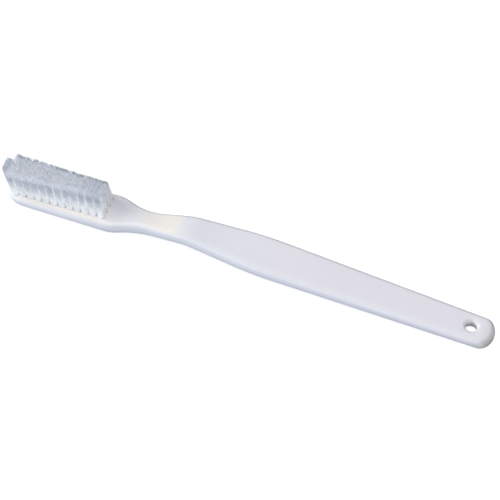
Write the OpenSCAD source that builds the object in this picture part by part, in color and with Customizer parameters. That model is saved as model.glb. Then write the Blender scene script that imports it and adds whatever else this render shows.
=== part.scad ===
// Manual toothbrush, lying on its back with the bristles up.
// X runs from the toe of the head to the end of the handle, Y across it, Z up from the table.
// The origin is on the table, under the middle of the whole brush.

/* [Overall] */
// Length from the toe of the head to the end of the handle
brush_len = 153; // [148:1:170]

/* [Head] */
// Distance from the toe to where the sides of the head turn in
head_len = 35; // [34:0.5:38]
// Width of the head at the toe, between the lines of its sides
toe_w = 10.7; // [10.4:0.1:11.6]
// Width of the head where its sides turn in
head_w = 12.3; // [11.8:0.1:13]
// Length of the rounded toe
toe_len = 6.4; // [5:0.1:8]
// Thickness of the head at the toe
head_t = 4.2; // [4:0.1:4.8]
// Length over which the sides of the head turn in
head_bend = 4; // [2:0.5:6]

/* [Neck] */
// Distance from the toe to the crossing of the neck's side lines
neck_at = 43; // [42:0.5:46]
// Width of the neck where its side lines cross
neck_w = 6.1; // [5.5:0.1:8]
// Length over which the sides of the neck bend
neck_bend = 10; // [8:0.5:11]
// Distance from the toe to the foot of the ramp
ramp_at = 45.5; // [43:0.1:47]
// Height of the underside above the table at the foot of the ramp
ramp_lift = 2.15; // [0.5:0.05:3]
// Length over which the foot of the ramp bends
ramp_bend = 9; // [5:0.5:10]

/* [Handle] */
// Distance from the toe to the shoulder, where the ramp meets the handle
shoulder_at = 58; // [56:0.5:62]
// Height of the underside above the table at the shoulder
shoulder_lift = 5; // [3:0.1:7]
// Thickness at the shoulder
shoulder_t = 4.8; // [4.4:0.1:5.6]
// Length over which the shoulder bends
shoulder_bend = 5; // [3:0.5:6]
// Distance from the toe to the widest part of the grip
grip_at = 79.7; // [76:0.1:90]
// Width of the grip where its side lines cross
grip_w = 13.1; // [11:0.1:15]
// Length over which the sides of the grip bend
grip_bend = 12.5; // [8:0.5:16]
// Width of the handle at its end, between the lines of its sides
end_w = 9.7; // [9.2:0.1:12]
// Thickness of the handle at its end
end_t = 4; // [3.8:0.1:4.8]
// Length of the rounded end
end_len = 3.8; // [3:0.1:6]
// How far the rounding of the edges reaches in from the sides
edge_w = 1.5; // [1:0.1:1.7]
// How far the rounding of the edges reaches down from each face
edge_h = 1.6; // [1:0.1:1.9]

/* [Hanging hole] */
// Distance from the end of the handle to the hole
hang_inset = 7; // [6.5:0.1:12]
// Diameter of the hole
hang_d = 3.5; // [3:0.1:4]
// Length of the straight part of the hole
hang_land = 1.2; // [1:0.1:1.6]
// Diameter of the rounded rim in the top face
hang_top_d = 5.6; // [4.6:0.1:6]
// Depth of the rounded rim in the top face
hang_top_depth = 0.8; // [0.4:0.1:1]
// Diameter of the rounded rim in the underside
hang_back_d = 5.8; // [4.6:0.1:6]

/* [Tufts] */
// Distance between tufts along the brush
column_pitch = 2.5; // [2.4:0.05:2.55]
// Distance between tufts across the brush
row_pitch = 2.45; // [2.4:0.05:2.5]
// Distance from the toe to the leading pair of tufts
lead_inset = 1.7; // [1.6:0.05:1.8]
// Distance from the toe to the first full column of tufts
first_column = 3.95; // [3.9:0.05:4.2]
// Height of the trimmed bristles above the face of the head
bristle_h = 7.8; // [5:0.1:11]
// How far the tips of the near row lean towards the toe
near_lean = 1; // [0:0.1:2]
// How far the tips of the far row lean towards the toe
far_lean = 1.4; // [0:0.1:2]
// How far all tips sway to the far side
tip_side = 0.25; // [0:0.05:0.4]
// How far the tips of the outer rows draw in by the toe
toe_gather = 0.3; // [0:0.05:1.3]
// How far the tips of the outer rows draw in by the neck
neck_gather = 1.25; // [0:0.05:1.3]
// Unevenness of the trimmed tips
tip_unevenness = 0.25; // [0:0.05:0.5]
// Half width of a strand where it leaves the head
strand_r = 0.18; // [0.12:0.01:0.19]
// Half width of a strand at its tip
strand_tip_r = 0.16; // [0.1:0.01:0.19]

/* [Tuft holes and anchors] */
// Diameter of a tuft hole
tuft_hole_d = 1.8; // [1.7:0.05:1.85]
// Depth of a tuft hole
tuft_hole_depth = 2.9; // [2.7:0.05:3.1]
// How far the packed root of a tuft stays below the face of the head
root_recess = 0.35; // [0.2:0.05:0.5]
// Thickness of the fold of filaments under an anchor
fold_t = 0.45; // [0.3:0.05:0.6]
// Length of an anchor, which is wider than the hole and bites into its walls
anchor_len = 2.3; // [2.2:0.05:2.4]
// Height of an anchor
anchor_h = 1.4; // [1.2:0.05:1.5]
// Thickness of an anchor
anchor_t = 0.25; // [0.2:0.05:0.3]
// Angle of the anchors to the length of the brush
anchor_turn = -20; // [-35:1:-15]
// Clearance around the roots and the anchors
seat_gap = 0.05; // [0.03:0.01:0.06]

/* [Hidden] */
// Rows and columns of tufts, where the leading column holds only the middle rows
rows = 4;
columns = 12;
// Steps along each stretch of the outline, round each end, round each edge and into the hanging hole
run_steps = [6, 7, 10, 3, 10, 4, 6, 10];
end_steps = 12;
edge_steps = 7;
lead_steps = 6;
// Strands in the inner and the outer ring of a tuft, and the sides of one strand
inner_strands = 3;
outer_strands = 6;
strand_sides = 3;
// Ring radii as shares of the hole's radius, and how much a tuft fans out to its tips
inner_ring_share = 0.29;
outer_ring_share = 0.64;
fan_share = 1.4;
// Share of the lean that a strand has at half its height
half_lean_share = 0.54;
// Length by which cuts run past the surfaces that they open
overrun = 1;
// Depth by which a strand is rooted in the packed root
strand_root = 0.25;
$fn = 48;

// Outline, heights and thickness, as straight lines with bent corners: place, value, bend
half_width_line = [
    [0, toe_w / 2, 0],
    [head_len, head_w / 2, head_bend],
    [neck_at, neck_w / 2, neck_bend],
    [grip_at, grip_w / 2, grip_bend],
    [brush_len, end_w / 2, 0],
];
underside_line = [
    [edge_w, 0, 0],
    [ramp_at, ramp_lift, ramp_bend],
    [shoulder_at, shoulder_lift, shoulder_bend],
    [brush_len - edge_w, 0, 0],
];
thickness_line = [
    [0, head_t, 0],
    [shoulder_at, shoulder_t, shoulder_bend],
    [brush_len, end_t, 0],
];

function slope(line, i) = (line[i + 1][1] - line[i][1]) / (line[i + 1][0] - line[i][0]);
function corner(u, bend) = u <= -bend / 2 ? 0 : u >= bend / 2 ? u : (u + bend / 2) ^ 2 / (2 * bend);
function sum(v, i = 0) = i < len(v) ? v[i] + sum(v, i + 1) : 0;
function bent(line, x) =
    line[0][1] + slope(line, 0) * (x - line[0][0])
    + sum([for (i = [1:len(line) - 2])
        (slope(line, i) - slope(line, i - 1)) * corner(x - line[i][0], line[i][2])]);

function underside(x) = bent(underside_line, x);
function thickness(x) = bent(thickness_line, x);
function face(x) = underside(x) + thickness(x);

// Places along the outline, with short steps where it bends
run_keys = [
    toe_len,
    head_len - head_bend,
    neck_at - neck_bend / 2,
    max(neck_at + neck_bend / 2, ramp_at + ramp_bend / 2),
    shoulder_at - shoulder_bend,
    shoulder_at + shoulder_bend,
    grip_at - grip_bend / 2,
    grip_at + grip_bend / 2,
    brush_len - end_len,
];
toe_side = [for (i = [0:end_steps - 1]) let (a = 90 * i / end_steps)
    [toe_len * (1 - cos(a)), -bent(half_width_line, toe_len * (1 - cos(a))) * sin(a)]];
run_side = [for (k = [0:len(run_steps) - 1]) for (i = [0:run_steps[k] - 1])
    let (x = run_keys[k] + (run_keys[k + 1] - run_keys[k]) * i / run_steps[k])
    [x, -bent(half_width_line, x)]];
end_side = [for (i = [0:end_steps]) let (a = 90 * i / end_steps, x = brush_len - end_len * (1 - sin(a)))
    [x, -bent(half_width_line, x) * cos(a)]];
near_side = concat(toe_side, run_side, end_side);
last = len(near_side) - 1;
outline = concat(near_side, [for (i = [last - 1:-1:1]) [near_side[i][0], -near_side[i][1]]]);
count = len(outline);

// The outline drawn in by a distance, square to its own direction
function inward(i) =
    let (t = outline[(i + 1) % count] - outline[(i + count - 1) % count])
    [-t[1], t[0]] / norm(t);
function ring_xy(inset) = [for (i = [0:count - 1]) outline[i] + inset * inward(i)];
edge_turns = [for (k = [0:edge_steps]) 90 * k / edge_steps];
function edge_inset(a) = edge_w * (1 - sin(a));
function edge_drop(a) = edge_h * (1 - cos(a));
lower_rings = [for (a = edge_turns)
    for (p = ring_xy(edge_inset(a))) [p[0], p[1], underside(p[0]) + edge_drop(a)]];
upper_rings = [for (k = [edge_steps:-1:0]) let (a = edge_turns[k])
    for (p = ring_xy(edge_inset(a))) [p[0], p[1], face(p[0]) - edge_drop(a)]];
ring_count = 2 * (edge_steps + 1);

function side_faces() = [for (r = [0:ring_count - 2]) for (i = [0:count - 1])
    let (a = r * count + i, b = r * count + (i + 1) % count, c = b + count, d = a + count)
    each [[a, d, c], [a, c, b]]];
// A face across the outline from each point to its mirror point, seen from above
function across(start, i) =
    let (a = start + i, b = start + i + 1)
    let (c = start + (count - i - 1) % count, d = start + (count - i) % count)
    concat(a == d ? [] : [[a, d, c]], b == c ? [] : [[a, c, b]]);
function turned(f) = [f[0], f[2], f[1]];

// How far the tips of a tuft stand from its root, and how much it fans out along and across the head
tuft_span = first_column + (columns - 1) * column_pitch - lead_inset;
function gather(t) = toe_gather + (neck_gather - toe_gather) * (t[2] - lead_inset) / tuft_span;
function tip_sway(t) =
    let (far = (t[0] - 1) / (rows - 1))
    [-near_lean - (far_lean - near_lean) * far, tip_side + gather(t) * (1 - 2 * far), 0];
function tip_fan(t) = fan_share * [1, 1 - 2 * gather(t) / (rows - 1) / row_pitch, 0];

// Middle of the box round the whole brush, from the leading tips to the end of the handle
tuft_r = tuft_hole_d / 2;
face_tilt = atan((face(head_len - head_bend) - face(toe_len)) / (head_len - head_bend - toe_len));
ring_tip_r = tuft_r * outer_ring_share * fan_share;
lead_tip_h = bristle_h + tip_unevenness / 2;
lead_tip_reach = ring_tip_r - tip_sway([rows - 1, 0, lead_inset])[0];
lead_tip_x = lead_inset - lead_tip_h * sin(face_tilt) - lead_tip_reach * cos(face_tilt) - strand_tip_r / 2;
middle_x = (lead_tip_x + brush_len) / 2;

// Tuft places as row, column and distance from the toe, with column zero for the leading pair
tufts = concat(
    [for (row = [2:rows - 1]) [row, 0, lead_inset]],
    [for (column = [1:columns]) for (row = [1:rows])
        [row, column, first_column + (column - 1) * column_pitch]]
);
function tuft_name(t) = str("tuft_row", t[0], "_column", t[1]);
function tuft_y(t) = (t[0] - (rows + 1) / 2) * row_pitch;

module place_brush() {
    translate([-middle_x, 0, 0]) children();
}

// Moves a child to a tuft's place on the face of the head, square to the face
module at_tuft(t) {
    translate([t[2], tuft_y(t), face(t[2])])
        rotate([0, -face_tilt, 0])
            children();
}

module handle_body() {
    polyhedron(
        points = concat(lower_rings, upper_rings),
        faces = concat(
            [for (i = [0:last - 1]) for (f = across(0, i)) turned(f)],
            side_faces(),
            [for (i = [0:last - 1]) each across((ring_count - 1) * count, i)]
        )
    );
}

// Hole that the packed root of a tuft fills, with the slit that its anchor leaves in the walls
module tuft_hole() {
    translate([0, 0, -tuft_hole_depth])
        cylinder(d = tuft_hole_d, h = tuft_hole_depth + overrun);
    slit_w = anchor_t + 2 * seat_gap;
    slit_l = anchor_len + 2 * seat_gap;
    rotate([0, 0, anchor_turn])
        translate([-slit_l / 2, -slit_w / 2, -tuft_hole_depth + fold_t - seat_gap])
            cube([slit_l, slit_w, tuft_hole_depth - fold_t + seat_gap + overrun]);
}

// Half of the hole's outline, as a straight land with a rounded lead-in at each end
function lead_in(rim_d, depth) = [for (i = [0:lead_steps]) let (a = 90 * i / lead_steps)
    [hang_d / 2 + (rim_d - hang_d) / 2 * (1 - cos(a)), depth * sin(a)]];
module hanging_hole() {
    x = brush_len - hang_inset;
    handle_tilt = atan((face(x - hang_d) - face(x + hang_d)) / (2 * hang_d));
    back_depth = thickness(x) - hang_top_depth - hang_land;
    top_side = lead_in(hang_top_d, hang_top_depth);
    back_side = lead_in(hang_back_d, back_depth);
    translate([x, 0, face(x)])
        rotate([0, handle_tilt, 0])
            rotate_extrude()
                polygon(concat(
                    [for (p = top_side) [p[0], p[1] - hang_top_depth]],
                    [[hang_top_d / 2, overrun], [0, overrun], [0, -thickness(x) - overrun]],
                    [[hang_back_d / 2, -thickness(x) - overrun]],
                    [for (i = [lead_steps:-1:0])
                        [back_side[i][0], -hang_top_depth - hang_land - back_side[i][1]]]
                ));
}

// One moulding: head, neck, grip and handle
module handle() {
    color([0.93, 0.94, 0.97])
        difference() {
            handle_body();
            for (t = tufts) at_tuft(t) tuft_hole();
            hanging_hole();
        }
}

// Flat pieces of wire that hold the tufts down in their holes
module anchors() {
    color([0.76, 0.7, 0.52])
        for (t = tufts) at_tuft(t)
            rotate([0, 0, anchor_turn])
                translate([-anchor_len / 2, -anchor_t / 2, -tuft_hole_depth + fold_t])
                    cube([anchor_len, anchor_t, anchor_h]);
}

// Filaments packed in the hole and folded round the anchor
module tuft_root() {
    difference() {
        translate([0, 0, -tuft_hole_depth + seat_gap])
            cylinder(r = tuft_r - seat_gap, h = tuft_hole_depth - seat_gap - root_recess);
        rotate([0, 0, anchor_turn])
            translate([-tuft_hole_d, -anchor_t / 2 - seat_gap, -tuft_hole_depth + fold_t - seat_gap])
                cube([2 * tuft_hole_d, anchor_t + 2 * seat_gap, anchor_h + 2 * seat_gap]);
    }
}

// A bent strand through three places, each with its own radius
function strand_ring(p, r) = [for (k = [0:strand_sides - 1])
    p + r * [cos(360 * k / strand_sides), sin(360 * k / strand_sides), 0]];
module strand(places, radii) {
    n = strand_sides;
    walls = [for (r = [0:len(places) - 2]) for (k = [0:n - 1])
        let (a = r * n + k, b = r * n + (k + 1) % n)
        each [[a, a + n, b + n], [a, b + n, b]]];
    top = (len(places) - 1) * n;
    polyhedron(
        points = [for (i = [0:len(places) - 1]) each strand_ring(places[i], radii[i])],
        faces = concat(
            [for (k = [1:n - 2]) [0, k, k + 1]],
            walls,
            [for (k = [1:n - 2]) [top, top + k + 1, top + k]]
        )
    );
}

function ring_places(n, share, turn) = [for (k = [0:n - 1]) let (a = 360 * k / n + turn)
    tuft_r * share * [cos(a), sin(a), 0]];

module tuft(t) {
    sway = tip_sway(t);
    fan = tip_fan(t);
    feet = concat(
        ring_places(inner_strands, inner_ring_share, 30),
        ring_places(outer_strands, outer_ring_share, 0)
    );
    uneven = rands(-tip_unevenness / 2, tip_unevenness / 2, len(feet), t[0] + rows * t[1]);
    color([0.8, 0.84, 0.9])
        at_tuft(t)
            union() {
                tuft_root();
                for (i = [0:len(feet) - 1]) {
                    foot = feet[i];
                    spread = [foot[0] * fan[0], foot[1] * fan[1], 0];
                    tip = spread + sway + [0, 0, bristle_h + uneven[i]];
                    half = (foot + spread) / 2 + sway * half_lean_share + [0, 0, bristle_h / 2];
                    strand(
                        [foot - [0, 0, root_recess + strand_root], half, tip],
                        [strand_r, (strand_r + strand_tip_r) / 2, strand_tip_r]
                    );
                }
            }
}

place_brush() handle();
place_brush() anchors();
for (t = tufts) place_brush() tuft(t);
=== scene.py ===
# Looks of the toothbrush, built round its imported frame. Lengths are in metres, in the frame's axes:
# X runs from the toe to the hanging hole, Y away from the photograph's camera and Z up.
import math
import random

import bmesh
import bpy
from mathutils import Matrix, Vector
from mathutils.bvhtree import BVHTree

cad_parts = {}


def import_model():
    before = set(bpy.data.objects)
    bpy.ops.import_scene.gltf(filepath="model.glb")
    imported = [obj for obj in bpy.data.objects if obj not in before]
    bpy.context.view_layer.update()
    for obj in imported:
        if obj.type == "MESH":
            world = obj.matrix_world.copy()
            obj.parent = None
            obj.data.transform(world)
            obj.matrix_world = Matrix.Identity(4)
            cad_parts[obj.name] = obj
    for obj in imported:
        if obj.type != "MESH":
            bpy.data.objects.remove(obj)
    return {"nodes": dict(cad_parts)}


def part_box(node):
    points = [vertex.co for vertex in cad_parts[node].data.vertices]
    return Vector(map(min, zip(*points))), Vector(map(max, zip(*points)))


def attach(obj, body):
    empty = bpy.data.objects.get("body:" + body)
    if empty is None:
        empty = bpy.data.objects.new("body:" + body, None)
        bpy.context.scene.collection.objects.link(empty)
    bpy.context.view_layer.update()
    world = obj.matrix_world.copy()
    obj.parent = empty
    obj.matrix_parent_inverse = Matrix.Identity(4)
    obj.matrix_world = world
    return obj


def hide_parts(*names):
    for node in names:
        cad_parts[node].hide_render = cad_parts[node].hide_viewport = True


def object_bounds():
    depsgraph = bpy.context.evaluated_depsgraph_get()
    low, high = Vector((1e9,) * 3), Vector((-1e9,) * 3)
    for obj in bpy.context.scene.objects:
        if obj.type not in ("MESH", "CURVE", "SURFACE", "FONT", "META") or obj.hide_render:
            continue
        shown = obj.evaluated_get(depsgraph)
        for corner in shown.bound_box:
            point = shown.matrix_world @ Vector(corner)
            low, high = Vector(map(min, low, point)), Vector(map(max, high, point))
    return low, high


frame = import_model()
CAD_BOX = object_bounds()
MM = 0.001
RAY_CLEARANCE = 10 * MM
UP = Vector((0, 0, 1))
ACROSS = Vector((0, 1, 0))


def grey(level):
    return level, level, level


WHITE = grey(1.0)

# Camera
VIEW_AZIMUTH = math.radians(21.26)
VIEW_ELEVATION = math.radians(54.0)
VIEW_DISTANCE = 1.0
VIEW_TARGET = Vector((-0.24, 3.58, 1.93)) * MM
VIEW_LENS_MM = 244.0
VIEW_SENSOR_MM = 36.0
VIEW_CLIP = (0.05, 10.0)

# Lamps, which are disks that face the origin: name, place, size, watts and colour
LAMPS = (
    ("key", (-0.95, 0.0, 0.5), 0.7, 8.3, (1.0, 0.98, 0.87)),
    ("top", (0.0, 0.1, 1.1), 0.9, 6.2, (0.90, 0.915, 1.0)),
    ("front_top", (0.25, -0.65, 1.0), 0.5, 2.6, (0.90, 0.915, 1.0)),
    ("front_left", (-0.5, -0.95, 0.24), 0.6, 4.7, (0.87, 0.945, 1.0)),
    ("neck_side", (0.95, -0.2, 0.2), 0.6, 0.9, (1.0, 0.98, 0.95)),
    ("front_right", (0.75, -0.75, 0.22), 0.6, 2.1, (0.98, 0.97, 1.0)),
)
AMBIENT_COLOUR = (0.90, 0.93, 1.0)
AMBIENT_STRENGTH = 0.01

# Floor
FLOOR_HALF = 2.5
FLOOR_COLOUR = (0.31, 0.34, 0.40)
FLOOR_ROUGHNESS = 0.9
FLOOR_LIFT = 0.88

# Tufts, as in the part's source but for the larger lean of the near row
ROWS = 4
COLUMNS = 12
COLUMN_PITCH = 2.5 * MM
ROW_PITCH = 2.45 * MM
LEAD_INSET = 1.7 * MM
FIRST_COLUMN = 3.95 * MM
BRISTLE_HEIGHT = 7.8 * MM
NEAR_LEAN = 1.5 * MM
FAR_LEAN = 1.4 * MM
TIP_SIDE = 0.25 * MM
TOE_GATHER = 0.3 * MM
NECK_GATHER = 1.25 * MM

# Filaments. FILAMENT_CIRCLES has a count and a share of the root's radius for each circle, and TIP_RINGS
# how far under the tip and how wide each of the last rings is, as shares of the filament's radius.
FILAMENT_CIRCLES = ((1, 0.0), (6, 0.34), (13, 0.67), (24, 1.0))
OFF_CENTRE = 1e-6
FILAMENT_R = 0.11 * MM
FILAMENT_SIDES = 6
FILAMENT_RINGS = 9
TIP_RINGS = ((0.5, 1.0), (0.1, 0.62))
ROOT_DEPTH = 1.0 * MM
ROOT_SPREAD = 0.79 * MM
ROOT_SHIFT = 0.02 * MM
TIP_REACH = 1.28 * MM
NEAR_TIP_REACH = 1.17 * MM
FAR_TIP_REACH = 1.1 * MM
LEAD_TIP_REACH = 0.87 * MM
LEAD_LEAN = 0.15 * MM
ROOT_BEND = 1.16
LENGTH_FAN_POWER = 0.5
TIP_WANDER = 0.06 * MM
TRIM_WANDER = 0.05 * MM
TUFT_WANDER = 0.05 * MM
SEEDS_PER_ROW = 100

# How pale a filament is, from 0 to 1: BODY_PALE and a random tone, with painted light and shade on top of
# them, which stand in for light through the clear nylon and shade among the tufts. Painted light comes in
# at the roots, on the tips, in the gaps under the tips and on the sides of the near row and the neck end,
# and painted shade under the near row's tips, on the far row's tips, on the leading pair and at the neck
# end. Each change comes in over a range of its height (UP), of the head's columns (COLUMNS), or of the
# places in its tuft, as shares of the root's radius (ALONG the head or
# ACROSS it). OFF is the range in which the change goes again.
BODY_PALE = 0.47
TONE_RANGE = 0.06
ROOT_PAINTED_LIGHT = 1.0
ROOT_PAINTED_LIGHT_POWER = 1.8
TIP_PAINTED_LIGHT = 0.08
TIP_PAINTED_LIGHT_UP = (0.86, 1.0)
OUTER_SIDE = 0.3
GAP_PAINTED_LIGHT = 0.3
GAP_PAINTED_LIGHT_UP = (0.7, 0.85)
GAP_PAINTED_LIGHT_OFF = (0.9, 1.0)
SIDE_PAINTED_LIGHT = 1.0
SIDE_PAINTED_LIGHT_ALONG = (0.7, 0.9)
SIDE_PAINTED_LIGHT_OFF = (0.8, 0.95)
NEAR_TIP_SHADE = 0.06
NEAR_TIP_SHADE_ACROSS = (0.0, 0.6)
NEAR_TIP_SHADE_UP = (0.62, 0.85)
NECK_SIDE_PAINTED_LIGHT = 1.1
NECK_SIDE_PAINTED_LIGHT_ALONG = (-0.3, 0.4)
NECK_SIDE_PAINTED_LIGHT_OFF = (0.65, 0.92)
FAR_TIP_SHADE = 0.26
FAR_TIP_SHADE_ACROSS = (-0.3, 0.6)
FAR_TIP_SHADE_UP = (0.6, 0.9)
FAR_TIP_LAPSE = 0.6
FAR_TIP_LAPSE_COLUMNS = (1, 4)
FAR_TIP_LAPSE_OFF = (5, 6)
LEAD_SHADE = 0.18
LEAD_SHADE_UP = (0.3, 0.8)
NECK_END_SHADE = 0.1
NECK_END_SHADE_COLUMNS = (9, COLUMNS)
NECK_END_SHADE_UP = (0.6, 0.85)

# Handle. UNDERSIDE_SHARE moves the ray that finds the underside inwards from a vertex, off the round edge.
WELD_DISTANCE = 0.001 * MM
SMOOTH_ANGLE = math.radians(32)
NORMAL_WEIGHT = 75
UNDERSIDE_SHARE = 0.6

# Colours of the handle's plastic, linear: a white plastic with painted light and shade in it. On top,
# painted warm light on the head and on the ramp, which face the key lamp, painted shadow of the bristles at
# the neck, and painted shade past the crease and on the end. The side is a cooler copy as painted shade,
# darker still at the neck's underside and the end.
# Top and side go by X, and the side gives way to the top over a range of the normal's Z.
PLASTIC_TOP_AND_PAINTED_LIGHT = (
    (-0.046, (0.80, 0.765, 0.705)),
    (-0.040, (0.785, 0.79, 0.81)),
    (-0.034, (0.80, 0.805, 0.825)),
    (-0.030, (0.815, 0.787, 0.752)),
    (-0.0217, (0.815, 0.787, 0.752)),
    (-0.0199, (0.745, 0.755, 0.80)),
    (-0.005, (0.80, 0.807, 0.85)),
    (0.012, (0.825, 0.81, 0.85)),
    (0.0735, (0.825, 0.81, 0.85)),
    (0.0765, (0.72, 0.70, 0.69)),
)
PLASTIC_SIDE_AND_PAINTED_SHADE = (
    (-0.055, (0.79, 0.79, 0.835)),
    (-0.044, (0.73, 0.73, 0.77)),
    (-0.034, (0.765, 0.775, 0.82)),
    (-0.015, (0.825, 0.82, 0.87)),
    (0.025, (0.825, 0.82, 0.87)),
    (0.062, (0.785, 0.78, 0.83)),
    (0.070, (0.785, 0.78, 0.83)),
    (0.0755, (0.64, 0.62, 0.60)),
)
SIDE_TO_TOP = (0.45, 0.75)

# Painted light and shade that multiply those colours: the side's by height over the underside (painted
# shade low on the wall and a painted highlight higher up), the top's by Y on the shoulder, which lies at
# SHOULDER_PLACE along X (painted light on the near side, painted shade on the far side by the last tufts),
# and the grip's by how far the normal points along Y (painted shade on the rounded edges, where the lamps'
# highlight falls, and on the upright sides).
# The grip's come in over GRIP_FROM along X.
WALL_PAINTED_LIGHT_AND_SHADE = (
    (0.0006, grey(0.94)),
    (0.0013, grey(0.97)),
    (0.0018, grey(0.99)),
    (0.0023, grey(1.11)),
    (0.0027, grey(1.16)),
    (0.0032, grey(1.14)),
    (0.0036, grey(1.06)),
    (0.0040, WHITE),
)
SHOULDER_PLACE = (
    (-0.047, grey(0.0)),
    (-0.043, WHITE),
    (-0.037, WHITE),
    (-0.029, grey(0.0)),
)
SHOULDER_PAINTED_LIGHT_AND_SHADE = (
    (-0.005, (1.02, 1.02, 1.01)),
    (-0.0035, (1.04, 1.04, 1.03)),
    (-0.0018, (1.10, 1.10, 1.08)),
    (0.0005, WHITE),
    (0.003, (0.90, 0.90, 0.91)),
    (0.005, (0.90, 0.90, 0.91)),
)
GRIP_FROM = (-0.036, -0.020)
EDGE_PAINTED_SHADE = (
    (0.05, WHITE),
    (0.25, (0.94, 0.94, 0.935)),
    (0.42, (0.90, 0.90, 0.89)),
    (0.6, (0.90, 0.90, 0.89)),
    (0.75, (0.95, 0.95, 0.94)),
    (0.9, grey(0.98)),
    (0.99, (0.92, 0.92, 0.93)),
)
HANG_HOLE_AT = (0.06996, 0.0)
# Painted light on the hanging hole's wall, which lies in shade: full within the first reach of the hole's
# axis, gone by the second
HOLE_WALL_PAINTED_LIGHT = (0.97, 0.97, 0.98)
HOLE_WALL_PAINTED_LIGHT_REACH = (2.0 * MM, 2.6 * MM)

# The middle of a noise's values, where most of them lie
NOISE_MIDDLE = (0.3, 0.7)

# The rest of the handle's plastic: its darker flow marks, roughness and grain
FLOW_MARK = (0.965, 0.965, 0.97)
FLOW_SCALE = 60
FLOW_STRETCH = (0.35, 1, 1)
PLASTIC_ROUGHNESS = (0.5, 0.6)
PLASTIC_CLOUD_SCALE = 350
PLASTIC_GRAIN_SCALE = 2600
PLASTIC_GRAIN_DEPTH = 0.02 * MM
PLASTIC_SOCKETS = {
    "IOR": 1.49,
    "Specular IOR Level": 0.3,
    "Subsurface Weight": 0.12,
    "Subsurface Radius": (1.0, 0.95, 0.9),
    "Subsurface Scale": 1.5 * MM,
}

# Nylon, whose colour goes by how pale a filament is, painted light and shade included, going grey where the
# painted shade is darkest, and the share of light that shadow rays let past it
NYLON_TONES = (
    (0.15, (0.40, 0.395, 0.39)),
    (0.23, (0.42, 0.418, 0.42)),
    (0.31, (0.446, 0.478, 0.557)),
    (1.0, (0.97, 0.975, 0.985)),
)
NYLON_CLOUD = (0.93, 0.94, 0.95)
NYLON_CLOUD_MIDDLE = (0.35, 0.65)
NYLON_CLOUD_SCALE = 500
NYLON_ROUGHNESS = (0.22, 0.34)
NYLON_IOR = 1.53
NYLON_GRAIN_SCALE = 9000
NYLON_GRAIN_DEPTH = 0.01 * MM
LIGHT_PASSED = 0.95

# Brass, streaked by rolling
BRASS = (0.58, 0.47, 0.25)
BRASS_STREAK = (0.66, 0.55, 0.31)
BRASS_STREAK_SCALE = 900
BRASS_STREAK_STRETCH = (1, 1, 6)
BRASS_ROUGHNESS = (0.28, 0.42)
BRASS_STREAK_DEPTH = 0.01 * MM


def surface_tree(mesh):
    return BVHTree.FromPolygons([v.co for v in mesh.vertices], [p.vertices for p in mesh.polygons])


def head_frame():
    """The toe's X, a point on the head's face, and the directions along the face and out of it."""
    tree = surface_tree(frame["nodes"]["handle"].data)
    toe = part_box("handle")[0].x
    first = toe + FIRST_COLUMN
    last = first + (COLUMNS - 1) * COLUMN_PITCH
    above = CAD_BOX[1][2] + RAY_CLEARANCE
    low = tree.ray_cast(Vector((first, 0, above)), -UP)[0]
    high = tree.ray_cast(Vector((last, 0, above)), -UP)[0]
    along = (high - low).normalized()
    out = Vector((-along.z, 0, along.x))
    return toe, low, along, out


TOE_X, FACE_POINT, FACE_ALONG, FACE_OUT = head_frame()


def tuft_name(row, column):
    return f"tuft_row{row}_column{column}"


def tuft_places():
    """Row, column and distance from the toe of each tuft, the leading pair first."""
    lead = [(row, 0, LEAD_INSET) for row in range(2, ROWS)]
    rest = [
        (row, column, FIRST_COLUMN + (column - 1) * COLUMN_PITCH)
        for column in range(1, COLUMNS + 1)
        for row in range(1, ROWS + 1)
    ]
    return lead + rest


def tuft_centre(row, inset):
    x = TOE_X + inset
    y = (row - (ROWS + 1) / 2) * ROW_PITCH
    z = FACE_POINT.z + (x - FACE_POINT.x) * FACE_ALONG.z / FACE_ALONG.x
    return Vector((x, y, z))


def gather(inset):
    """How far the tips of the outer rows at this place stand in from their roots."""
    along = (inset - LEAD_INSET) / (FIRST_COLUMN + (COLUMNS - 1) * COLUMN_PITCH - LEAD_INSET)
    return TOE_GATHER + (NECK_GATHER - TOE_GATHER) * along


def tip_sway(row, inset):
    """How far a tuft's tips stand from its root, along the head and across it."""
    far = (row - 1) / (ROWS - 1)
    lean = NEAR_LEAN + (FAR_LEAN - NEAR_LEAN) * far
    if inset == LEAD_INSET:
        lean += LEAD_LEAN
    return -lean, TIP_SIDE + gather(inset) * (1 - 2 * far)


def tip_reach(row, inset):
    """Half the length and half the width of the rectangle that a tuft's tips fill."""
    length = {1: NEAR_TIP_REACH, ROWS: FAR_TIP_REACH}.get(row, TIP_REACH)
    if inset == LEAD_INSET:
        length = LEAD_TIP_REACH
    return length, ROW_PITCH / 2 - gather(inset) / (ROWS - 1)


def tip_place(x, y, reach):
    """Where a filament at x, y of the round root, as shares of its radius, ends in the tips' rectangle."""
    stretch = math.hypot(x, y) / max(abs(x), abs(y))
    return x * stretch * reach[0], y * stretch * reach[1]


def root_places(rng):
    """Where a tuft's filaments stand in its round root, circle by circle, as shares of its radius.

    None stands in the exact middle, because tip_place divides by the place.
    """
    places = []
    for count, r in FILAMENT_CIRCLES:
        start = rng.uniform(0, math.tau)
        turns = [start + math.tau * k / count for k in range(count)]
        places += [(r * math.cos(turn) + OFF_CENTRE, r * math.sin(turn) + OFF_CENTRE) for turn in turns]
    return places


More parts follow.
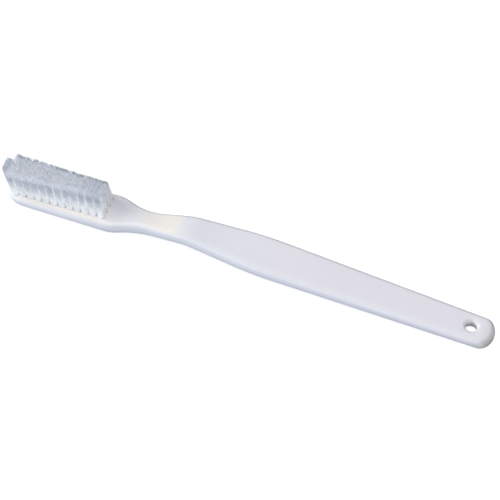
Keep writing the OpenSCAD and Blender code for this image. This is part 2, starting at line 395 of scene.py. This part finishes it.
def filament_rings(centre, sway, reach, place, rng):
    """The middle of each ring of a filament, from its hole to its tip, with its share of the height."""
    tip = tip_place(*place, reach)
    tip_u = tip[0] + rng.gauss(0, TIP_WANDER)
    tip_v = tip[1] + rng.gauss(0, TIP_WANDER)
    height = BRISTLE_HEIGHT + rng.uniform(-TRIM_WANDER, TRIM_WANDER)
    levels = [-ROOT_DEPTH] + [height * k / (FILAMENT_RINGS - 2) for k in range(FILAMENT_RINGS - 1)]
    rings = []
    for w in levels:
        t = max(0.0, w / height)
        bend = ROOT_BEND * t - (ROOT_BEND - 1) * t * t
        fan = t ** LENGTH_FAN_POWER
        u = place[0] * ROOT_SPREAD * (1 - fan) + tip_u * fan - ROOT_SHIFT * (1 - t) + sway[0] * bend
        v = place[1] * ROOT_SPREAD * (1 - t) + tip_v * t + sway[1] * bend
        rings.append((centre + FACE_ALONG * u + ACROSS * v + FACE_OUT * w, t))
    return rings


def ease(value, start, end):
    """Rises smoothly from 0 at the start to 1 at the end."""
    t = max(0.0, min(1.0, (value - start) / (end - start)))
    return t * t * (3 - 2 * t)


def far_tip_shade(column, across, t):
    """How much painted shade darkens the far row's tips, less so at the columns where the far edge is pale.
    """
    lapse = ease(column, *FAR_TIP_LAPSE_COLUMNS) * (1 - ease(column, *FAR_TIP_LAPSE_OFF))
    shade = FAR_TIP_SHADE * (1 - FAR_TIP_LAPSE * lapse)
    return shade * ease(across, *FAR_TIP_SHADE_ACROSS) * ease(t, *FAR_TIP_SHADE_UP)


def filament_light(tuft_at, place, tone, t):
    """How pale a filament at a place in its tuft is, at the share t of its height, painted light and shade
    included. Its tone is random.
    """
    row, column = tuft_at
    along, across = place
    pale = BODY_PALE + TONE_RANGE * (tone - 0.5) + ROOT_PAINTED_LIGHT * (1 - t) ** ROOT_PAINTED_LIGHT_POWER
    pale += TIP_PAINTED_LIGHT * ease(t, *TIP_PAINTED_LIGHT_UP)
    on_outer_side = (row == 1 and across < -OUTER_SIDE) or (row == ROWS and across > OUTER_SIDE)
    if not on_outer_side:
        pale += GAP_PAINTED_LIGHT * ease(t, *GAP_PAINTED_LIGHT_UP) * (1 - ease(t, *GAP_PAINTED_LIGHT_OFF))
    if row == 1:
        pale += SIDE_PAINTED_LIGHT * ease(abs(along), *SIDE_PAINTED_LIGHT_ALONG) * (1 - ease(t, *SIDE_PAINTED_LIGHT_OFF))
        pale -= NEAR_TIP_SHADE * ease(-across, *NEAR_TIP_SHADE_ACROSS) * ease(t, *NEAR_TIP_SHADE_UP)
    elif column == COLUMNS:
        pale += NECK_SIDE_PAINTED_LIGHT * ease(along, *NECK_SIDE_PAINTED_LIGHT_ALONG) * (1 - ease(t, *NECK_SIDE_PAINTED_LIGHT_OFF))
    if row == ROWS:
        pale -= far_tip_shade(column, across, t)
    if column == 0:
        pale -= LEAD_SHADE * ease(t, *LEAD_SHADE_UP)
    pale -= NECK_END_SHADE * ease(column, *NECK_END_SHADE_COLUMNS) * ease(t, *NECK_END_SHADE_UP)
    return max(0.0, min(1.0, pale))


def add_filament(verts, faces, lights, rings, tuft_at, place, tone):
    """Adds one filament to a tuft's vertices and faces, and how pale it is at each of its vertices."""
    base = len(verts)
    sides = FILAMENT_SIDES
    tip = rings[-1][0]
    tip_axis = (tip - rings[-2][0]).normalized()
    rows = [(middle, t, 1.0) for middle, t in rings[:-1]]
    rows += [(tip - tip_axis * FILAMENT_R * under, 1.0, width) for under, width in TIP_RINGS]
    for middle, t, width in rows:
        light = filament_light(tuft_at, place, tone, t)
        for k in range(sides):
            turn = math.tau * (tone + k / sides)
            spoke = FACE_ALONG * math.cos(turn) + ACROSS * math.sin(turn)
            verts.append(middle + spoke * FILAMENT_R * width)
            lights.append(light)
    verts.append(tip)
    lights.append(filament_light(tuft_at, place, tone, 1.0))
    for row in range(len(rows) - 1):
        start = base + row * sides
        for k in range(sides):
            a, b = start + k, start + (k + 1) % sides
            faces.append((a, b, b + sides, a + sides))
    last = base + (len(rows) - 1) * sides
    faces += [(last + k, last + (k + 1) % sides, last + sides) for k in range(sides)]
    faces.append(tuple(base + k for k in reversed(range(sides))))


def add_object(name, data):
    made = bpy.data.objects.new(name, data)
    bpy.context.scene.collection.objects.link(made)
    return made


def store(mesh, name, values):
    """Stores a value for each vertex, which a material can read by its name."""
    mesh.attributes.new(name, "FLOAT", "POINT").data.foreach_set("value", values)


def tuft(row, column, inset, material):
    """A tuft of filaments in place of the solid one."""
    rng = random.Random(row * SEEDS_PER_ROW + column)
    centre = tuft_centre(row, inset)
    sway_u, sway_v = tip_sway(row, inset)
    sway = (sway_u + rng.gauss(0, TUFT_WANDER), sway_v + rng.gauss(0, TUFT_WANDER))
    reach = tip_reach(row, inset)
    verts, faces, lights = [], [], []
    for place in root_places(rng):
        rings = filament_rings(centre, sway, reach, place, rng)
        add_filament(verts, faces, lights, rings, (row, column), place, rng.random())
    mesh = bpy.data.meshes.new(tuft_name(row, column) + "_filaments")
    mesh.from_pydata(verts, [], faces)
    store(mesh, "filament_light", lights)
    mesh.shade_smooth()
    mesh.materials.append(material)
    piece = add_object(mesh.name, mesh)
    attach(piece, "root")
    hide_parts(tuft_name(row, column))


def heights_over_underside(mesh):
    """How high each vertex of the handle stands over its underside."""
    tree = surface_tree(mesh)
    heights = []
    for vertex in mesh.vertices:
        start = Vector((vertex.co.x, vertex.co.y * UNDERSIDE_SHARE, -RAY_CLEARANCE))
        below = tree.ray_cast(start, UP)[0]
        heights.append(vertex.co.z - (below.z if below else 0.0))
    return heights


def handle_moulding(material):
    """The handle's own mesh with its facets joined and smoothed."""
    welded = bmesh.new()
    welded.from_mesh(frame["nodes"]["handle"].data)
    bmesh.ops.remove_doubles(welded, verts=welded.verts, dist=WELD_DISTANCE)
    welded.verts.index_update()
    verts = [v.co.copy() for v in welded.verts]
    faces = [[v.index for v in f.verts] for f in welded.faces]
    welded.free()
    mesh = bpy.data.meshes.new("handle_moulding")
    mesh.from_pydata(verts, [], faces)
    store(mesh, "wall_height", heights_over_underside(mesh))
    mesh.shade_smooth()
    mesh.set_sharp_from_angle(angle=SMOOTH_ANGLE)
    mesh.materials.append(material)
    piece = add_object("handle_moulding", mesh)
    weighted = piece.modifiers.new("even_faces", "WEIGHTED_NORMAL")
    weighted.mode = "FACE_AREA"
    weighted.weight = NORMAL_WEIGHT
    weighted.keep_sharp = True
    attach(piece, "root")
    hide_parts("handle")


class Shader:
    """A node material, with short ways to add and join nodes."""

    def __init__(self, name):
        self.material = bpy.data.materials.new(name)
        self.material.use_nodes = True
        self.tree = self.material.node_tree
        self.principled = self.tree.nodes["Principled BSDF"]

    def feed(self, socket, value):
        """Joins a node's output to a socket, or sets the socket to a number, a vector or a colour."""
        if isinstance(value, bpy.types.NodeSocket):
            self.tree.links.new(value, socket)
        elif socket.type == "RGBA":
            socket.default_value = (*value, 1)
        else:
            socket.default_value = value

    def surface(self, sockets):
        """Feeds sockets of the surface, by name."""
        for name, value in sockets.items():
            self.feed(self.principled.inputs[name], value)

    def node(self, kind, sockets, **settings):
        """Adds a node with its settings made and its sockets, by name or place, fed."""
        made = self.tree.nodes.new(kind)
        for key, value in settings.items():
            setattr(made, key, value)
        for name, value in sockets.items():
            self.feed(made.inputs[name], value)
        return made

    def coordinates(self, kind):
        return self.node("ShaderNodeTexCoord", {}).outputs[kind]

    def part(self, kind, axis):
        """One axis of the place or of the normal, in the object's own coordinates."""
        return self.node("ShaderNodeSeparateXYZ", {"Vector": self.coordinates(kind)}).outputs[axis]

    def stored(self, name):
        """A value that is stored on the mesh."""
        return self.node("ShaderNodeAttribute", {}, attribute_name=name).outputs["Fac"]

    def light_path(self, kind):
        return self.node("ShaderNodeLightPath", {}).outputs[kind]

    def math(self, operation, first, second=0.0):
        return self.node("ShaderNodeMath", {0: first, 1: second}, operation=operation).outputs["Value"]

    def noise(self, scale, detail=2.0, roughness=0.5, stretch=(1, 1, 1)):
        place = self.node("ShaderNodeMapping", {"Vector": self.coordinates("Object"), "Scale": stretch})
        sockets = {
            "Vector": place.outputs["Vector"],
            "Scale": scale,
            "Detail": detail,
            "Roughness": roughness,
        }
        return self.node("ShaderNodeTexNoise", sockets).outputs["Fac"]

    def remap(self, value, source, target=(0, 1)):
        sockets = {
            "Value": value,
            "From Min": source[0],
            "From Max": source[1],
            "To Min": target[0],
            "To Max": target[1],
        }
        return self.node("ShaderNodeMapRange", sockets).outputs["Result"]

    def mix(self, factor, first, second, blend="MIX"):
        """Mixes two colours. The node's inputs 0, 6 and 7 and its output 2 are the ones for colours."""
        sockets = {0: factor, 6: first, 7: second}
        return self.node("ShaderNodeMix", sockets, data_type="RGBA", blend_type=blend).outputs[2]

    def multiply(self, first, second):
        return self.mix(1.0, first, second, "MULTIPLY")

    def near_line(self, place, near, far):
        """1 within a near distance of the upright line through a place, falling to 0 at a far one."""
        flat = self.node(
            "ShaderNodeVectorMath", {0: self.coordinates("Object"), 1: (1, 1, 0)}, operation="MULTIPLY"
        )
        away = self.node(
            "ShaderNodeVectorMath", {0: flat.outputs["Vector"], 1: (*place, 0)}, operation="DISTANCE"
        )
        return self.remap(away.outputs["Value"], (near, far), (1, 0))

    def steps(self, value, stops):
        """A colour that changes with a value, through stops of value and colour in rising order."""
        (low, first), (high, last) = stops[0], stops[-1]
        made = self.node("ShaderNodeValToRGB", {"Fac": self.remap(value, (low, high))})
        ramp = made.color_ramp.elements
        ramp[0].color, ramp[1].color = (*first, 1), (*last, 1)
        for at, colour in stops[1:-1]:
            ramp.new((at - low) / (high - low)).color = (*colour, 1)
        return made.outputs["Color"]

    def bump(self, height, strength, distance):
        sockets = {"Height": height, "Strength": strength, "Distance": distance}
        self.surface({"Normal": self.node("ShaderNodeBump", sockets).outputs["Normal"]})


def plastic_colour_and_painted_light(s):
    """The moulding's colour with painted light and shade: painted warm light on top of the head and ramp,
    painted shade at the neck, past the crease and on the end, a cooler side as painted shade, painted light
    and shade up its walls, on the shoulder and on the grip's edges, and painted light on the hanging hole's
    wall.
    """
    along = s.part("Object", "X")
    on_shoulder = s.steps(along, SHOULDER_PLACE)
    # painted light on the shoulder's near side and painted shade on its far side
    shoulder = s.mix(on_shoulder, WHITE, s.steps(s.part("Object", "Y"), SHOULDER_PAINTED_LIGHT_AND_SHADE))
    # painted warm light on the head and ramp, painted shade at the neck, past the crease and on the end,
    # along X
    top = s.multiply(s.steps(along, PLASTIC_TOP_AND_PAINTED_LIGHT), shoulder)
    # painted highlight and shade up the wall, by height over the underside
    wall = s.multiply(s.steps(along, PLASTIC_SIDE_AND_PAINTED_SHADE), s.steps(s.stored("wall_height"), WALL_PAINTED_LIGHT_AND_SHADE))
    # painted light on the wall of the hanging hole
    side = s.mix(s.near_line(HANG_HOLE_AT, *HOLE_WALL_PAINTED_LIGHT_REACH), wall, HOLE_WALL_PAINTED_LIGHT)
    # the side is a cooler, darker copy of the top: painted shade on the surfaces that turn away from the
    # top lamps
    body = s.mix(s.remap(s.part("Normal", "Z"), SIDE_TO_TOP), side, top)
    tilt = s.math("ABSOLUTE", s.part("Normal", "Y"))
    # painted shade on the grip's rounded edges and upright sides
    edge = s.mix(s.remap(along, GRIP_FROM), WHITE, s.steps(tilt, EDGE_PAINTED_SHADE))
    return s.multiply(body, edge)


def moulded_plastic():
    """Satin white polypropylene with faint flow marks and a fine grain, its colour carrying painted light
    and shade.
    """
    s = Shader("moulded_plastic")
    flow = s.remap(s.noise(FLOW_SCALE, detail=3, stretch=FLOW_STRETCH), NOISE_MIDDLE)
    s.surface({
        "Base Color": s.multiply(plastic_colour_and_painted_light(s), s.mix(flow, FLOW_MARK, WHITE)),
        "Roughness": s.remap(s.noise(PLASTIC_CLOUD_SCALE), NOISE_MIDDLE, PLASTIC_ROUGHNESS),
    })
    s.surface(PLASTIC_SOCKETS)
    grain = s.noise(PLASTIC_GRAIN_SCALE, detail=3, roughness=0.6)
    s.bump(grain, strength=0.12, distance=PLASTIC_GRAIN_DEPTH)
    return s.material


def clear_nylon():
    """Clear nylon, bluish white with painted light and shade, and grey where the painted shade is darkest,
    that lets most of the light past.
    """
    s = Shader("clear_nylon")
    cloud = s.remap(s.noise(NYLON_CLOUD_SCALE), NYLON_CLOUD_MIDDLE)
    body = s.steps(s.stored("filament_light"), NYLON_TONES)
    s.surface({
        "Base Color": s.multiply(body, s.mix(cloud, NYLON_CLOUD, WHITE)),
        "Roughness": s.remap(cloud, (0, 1), NYLON_ROUGHNESS),
        "IOR": NYLON_IOR,
        "Alpha": s.remap(s.light_path("Is Shadow Ray"), (0, 1), (1, 1 - LIGHT_PASSED)),
    })
    s.bump(s.noise(NYLON_GRAIN_SCALE), strength=0.05, distance=NYLON_GRAIN_DEPTH)
    return s.material


def rolled_brass():
    """Brass wire with streaks along its length."""
    s = Shader("rolled_brass")
    noise = s.noise(BRASS_STREAK_SCALE, detail=3, roughness=0.6, stretch=BRASS_STREAK_STRETCH)
    streak = s.remap(noise, NOISE_MIDDLE)
    s.surface({
        "Base Color": s.mix(streak, BRASS, BRASS_STREAK),
        "Roughness": s.remap(streak, (0, 1), BRASS_ROUGHNESS),
        "Metallic": 1.0,
    })
    s.bump(streak, strength=0.1, distance=BRASS_STREAK_DEPTH)
    return s.material


def floor_white():
    """Plain floor that the camera and reflections see a little brighter than it is, so that it is white."""
    s = Shader("floor_white")
    seen = s.math("MAXIMUM", s.light_path("Is Camera Ray"), s.light_path("Is Glossy Ray"))
    seen = s.math("MAXIMUM", seen, s.light_path("Is Transmission Ray"))
    s.surface({
        "Base Color": FLOOR_COLOUR,
        "Roughness": FLOOR_ROUGHNESS,
        "Specular IOR Level": 0.0,
        "Emission Color": WHITE,
        "Emission Strength": s.math("MULTIPLY", seen, FLOOR_LIFT),
    })
    return s.material


def floor():
    half = FLOOR_HALF
    corners = [(-half, -half, 0), (half, -half, 0), (half, half, 0), (-half, half, 0)]
    mesh = bpy.data.meshes.new("floor")
    mesh.from_pydata(corners, [], [(0, 1, 2, 3)])
    mesh.materials.append(floor_white())
    made = add_object("floor", mesh)


def camera():
    back = Vector((
        math.sin(VIEW_AZIMUTH) * math.cos(VIEW_ELEVATION),
        -math.cos(VIEW_AZIMUTH) * math.cos(VIEW_ELEVATION),
        math.sin(VIEW_ELEVATION),
    ))
    data = bpy.data.cameras.new("camera")
    data.sensor_width = VIEW_SENSOR_MM
    data.lens = VIEW_LENS_MM
    data.clip_start, data.clip_end = VIEW_CLIP
    made = add_object("camera", data)
    made.location = VIEW_TARGET + back * VIEW_DISTANCE
    made.rotation_euler = back.to_track_quat("Z", "Y").to_euler()
    bpy.context.scene.camera = made


def lamp(name, place, size, watts, colour):
    data = bpy.data.lights.new(name, "AREA")
    data.shape = "DISK"
    data.size = size
    data.energy = watts
    data.color = colour
    made = add_object(name, data)
    made.location = place
    made.rotation_euler = Vector(place).to_track_quat("Z", "Y").to_euler()


def world():
    """A white background for the camera, with a faint ambient light for the rest."""
    made = bpy.data.worlds.new("studio")
    bpy.context.scene.world = made
    made.use_nodes = True
    nodes, links = made.node_tree.nodes, made.node_tree.links
    ambient = nodes["Background"]
    ambient.inputs["Color"].default_value = (*AMBIENT_COLOUR, 1)
    ambient.inputs["Strength"].default_value = AMBIENT_STRENGTH
    white = nodes.new("ShaderNodeBackground")
    white.inputs["Color"].default_value = (*WHITE, 1)
    white.inputs["Strength"].default_value = 1.0
    path = nodes.new("ShaderNodeLightPath")
    choose = nodes.new("ShaderNodeMixShader")
    links.new(path.outputs["Is Camera Ray"], choose.inputs["Fac"])
    links.new(ambient.outputs["Background"], choose.inputs[1])
    links.new(white.outputs["Background"], choose.inputs[2])
    links.new(choose.outputs["Shader"], nodes["World Output"].inputs["Surface"])


camera()
for settings in LAMPS:
    lamp(*settings)
world()
floor()
handle_moulding(moulded_plastic())
frame["nodes"]["anchors"].data.materials.clear()
frame["nodes"]["anchors"].data.materials.append(rolled_brass())
nylon = clear_nylon()
for row, column, inset in tuft_places():
    tuft(row, column, inset, nylon)
bpy.context.scene.view_settings.view_transform = "Standard"
bpy.context.view_layer.update()
